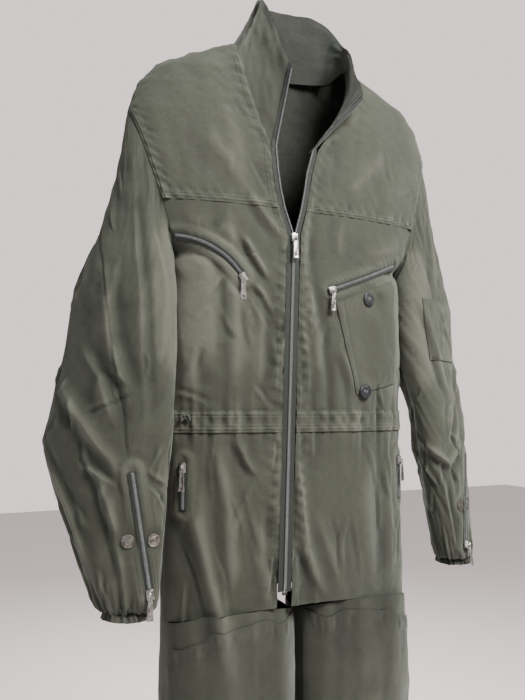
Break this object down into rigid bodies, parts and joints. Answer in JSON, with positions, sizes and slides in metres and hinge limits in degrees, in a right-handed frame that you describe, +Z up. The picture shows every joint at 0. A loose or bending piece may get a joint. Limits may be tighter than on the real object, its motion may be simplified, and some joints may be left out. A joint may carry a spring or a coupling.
{
  "type": "hanging work coverall",
  "caption": "One-piece olive cotton work coverall with a stand-up collar, long front zip, zipped chest and hip pockets, zipped gathered cuffs and a gathered waist.",
  "frame": {"origin": "centre of the neck between the shoulder ridges, where a hanger carries the suit", "axes": "+Z up, -Y is the wearer's front, -X the wearer's right"},
  "size_m": [0.6669, 0.1462, 1.67],
  "materials": {
    "olive_cloth": "matt cotton twill",
    "olive_cloth_dark": "matt cotton twill",
    "zip_tape": "woven zip tape with a nylon coil",
    "nickel": "worn nickel plating",
    "bronze": "antique snap cap",
    "black_plastic": "moulded"
  },
  "bodies": {
    "suit": {"yoke_right": "olive_cloth", "chest_panel_right": "olive_cloth", "hip_panel_right": "olive_cloth", "yoke_left": "olive_cloth", "chest_panel_left": "olive_cloth", "hip_panel_left": "olive_cloth", "back_yoke": "olive_cloth", "back_panel": "olive_cloth", "seat_panel": "olive_cloth", "waistband": "olive_cloth", "collar": "olive_cloth_dark", "main_zip_right": "zip_tape", "main_zip_left": "zip_tape", "main_zip_stop": "nickel", "chest_zip_right": "zip_tape", "chest_zip_left": "zip_tape", "side_zip_right": "zip_tape", "side_zip_left": "zip_tape", "chest_pocket_left": "olive_cloth", "pocket_button_upper": "black_plastic", "pocket_button_lower": "black_plastic", "waist_tie": "olive_cloth_dark"},
    "sleeve_right_body": {"sleeve_right": "olive_cloth", "forearm_right": "olive_cloth", "cuff_right": "olive_cloth_dark", "sleeve_zip_right": "zip_tape", "snap_right_1": "bronze", "snap_right_2": "bronze"},
    "sleeve_left_body": {"sleeve_left": "olive_cloth", "forearm_left": "olive_cloth", "cuff_left": "olive_cloth_dark", "sleeve_zip_left": "zip_tape", "snap_left_1": "bronze", "snap_left_2": "bronze", "arm_pocket_left": "olive_cloth"},
    "leg_right_body": {"leg_right": "olive_cloth", "hem_band_right": "olive_cloth_dark", "knee_patch_right": "olive_cloth_dark"},
    "leg_left_body": {"leg_left": "olive_cloth", "hem_band_left": "olive_cloth_dark", "knee_patch_left": "olive_cloth_dark"},
    "main_zip_slider": {"main_zip_slider": "nickel"},
    "main_zip_pull": {"main_zip_pull": "nickel"},
    "chest_zip_right_slider": {"chest_zip_right_slider": "nickel"},
    "chest_zip_right_pull": {"chest_zip_right_pull": "nickel"},
    "chest_zip_left_slider": {"chest_zip_left_slider": "nickel"},
    "chest_zip_left_pull": {"chest_zip_left_pull": "nickel"},
    "side_zip_right_slider": {"side_zip_right_slider": "nickel"},
    "side_zip_right_pull": {"side_zip_right_pull": "nickel"},
    "sleeve_zip_right_slider": {"sleeve_zip_right_slider": "nickel"},
    "sleeve_zip_right_pull": {"sleeve_zip_right_pull": "nickel"},
    "side_zip_left_slider": {"side_zip_left_slider": "nickel"},
    "side_zip_left_pull": {"side_zip_left_pull": "nickel"},
    "sleeve_zip_left_slider": {"sleeve_zip_left_slider": "nickel"},
    "sleeve_zip_left_pull": {"sleeve_zip_left_pull": "nickel"}
  },
  "joints": [
    {"name": "sleeve_right_lift", "type": "hinge", "parent": "suit", "child": "sleeve_right_body", "pos_m": [-0.2436, 0, -0.1028], "axis": [0, 1, 0], "range_deg": [0, 60]},
    {"name": "leg_right_swing", "type": "hinge", "parent": "suit", "child": "leg_right_body", "pos_m": [0, 0, -0.655], "axis": [-1, 0, 0], "range_deg": [-15, 70]},
    {"name": "sleeve_left_lift", "type": "hinge", "parent": "suit", "child": "sleeve_left_body", "pos_m": [0.2436, 0, -0.1028], "axis": [0, -1, 0], "range_deg": [0, 60]},
    {"name": "leg_left_swing", "type": "hinge", "parent": "suit", "child": "leg_left_body", "pos_m": [0, 0, -0.655], "axis": [-1, 0, 0], "range_deg": [-15, 70]},
    {"name": "main_zip_slide", "type": "slide", "parent": "suit", "child": "main_zip_slider", "axis": [-0.0326, 0, -0.9995], "range_m": [0, 0.466]},
    {"name": "main_zip_pull_swing", "type": "hinge", "parent": "main_zip_slider", "child": "main_zip_pull", "pos_m": [-0.01723, -0.06235, -0.269], "axis": [-1, 0, 0], "range_deg": [0, 150]},
    {"name": "chest_zip_right_slide", "type": "hinge", "parent": "suit", "child": "chest_zip_right_slider", "pos_m": [-0.17942, -0.00694, -0.38861], "axis": [-0.347, -0.9127, -0.2158], "range_deg": [0, 52.18]},
    {"name": "chest_zip_right_pull_swing", "type": "hinge", "parent": "chest_zip_right_slider", "child": "chest_zip_right_pull", "pos_m": [-0.09507, -0.05909, -0.33129], "axis": [-0.9345, 0.3559, 0], "range_deg": [0, 140]},
    {"name": "chest_zip_left_slide", "type": "hinge", "parent": "suit", "child": "chest_zip_left_slider", "pos_m": [-0.00841, 0.40098, -0.24847], "axis": [-0.3279, -0.2175, 0.9193], "range_deg": [0, 15.18]},
    {"name": "chest_zip_left_pull_swing", "type": "hinge", "parent": "chest_zip_left_slider", "child": "chest_zip_left_pull", "pos_m": [0.04234, -0.06355, -0.33933], "axis": [-0.9983, -0.0579, 0], "range_deg": [0, 140]},
    {"name": "side_zip_right_slide", "type": "slide", "parent": "suit", "child": "side_zip_right_slider", "axis": [0, 0, -1], "range_m": [0, 0.0484]},
    {"name": "side_zip_right_pull_swing", "type": "hinge", "parent": "side_zip_right_slider", "child": "side_zip_right_pull", "pos_m": [-0.17244, -0.03703, -0.58534], "axis": [-0.8471, 0.5314, 0], "range_deg": [0, 140]},
    {"name": "side_zip_left_slide", "type": "slide", "parent": "suit", "child": "side_zip_left_slider", "axis": [0, 0, -1], "range_m": [0, 0.0484]},
    {"name": "side_zip_left_pull_swing", "type": "hinge", "parent": "side_zip_left_slider", "child": "side_zip_left_pull", "pos_m": [0.17244, -0.03703, -0.58534], "axis": [-0.8471, -0.5314, 0], "range_deg": [0, 140]},
    {"name": "sleeve_zip_right_slide", "type": "slide", "parent": "sleeve_right_body", "child": "sleeve_zip_right_slider", "axis": [-0.1455, 0.0842, 0.9858], "range_m": [0, 0.1374]},
    {"name": "sleeve_zip_right_pull_swing", "type": "hinge", "parent": "sleeve_zip_right_slider", "child": "sleeve_zip_right_pull", "pos_m": [-0.22467, -0.08498, -0.72912], "axis": [-0.9794, 0.2018, 0], "range_deg": [0, 140]},
    {"name": "sleeve_zip_left_slide", "type": "slide", "parent": "sleeve_left_body", "child": "sleeve_zip_left_slider", "axis": [0.254, 0.2636, 0.9306], "range_m": [0, 0.1311]},
    {"name": "sleeve_zip_left_pull_swing", "type": "hinge", "parent": "sleeve_zip_left_slider", "child": "sleeve_zip_left_pull", "pos_m": [0.25778, -0.08268, -0.70789], "axis": [-0.8544, -0.5196, 0], "range_deg": [0, 140]}
  ]
}
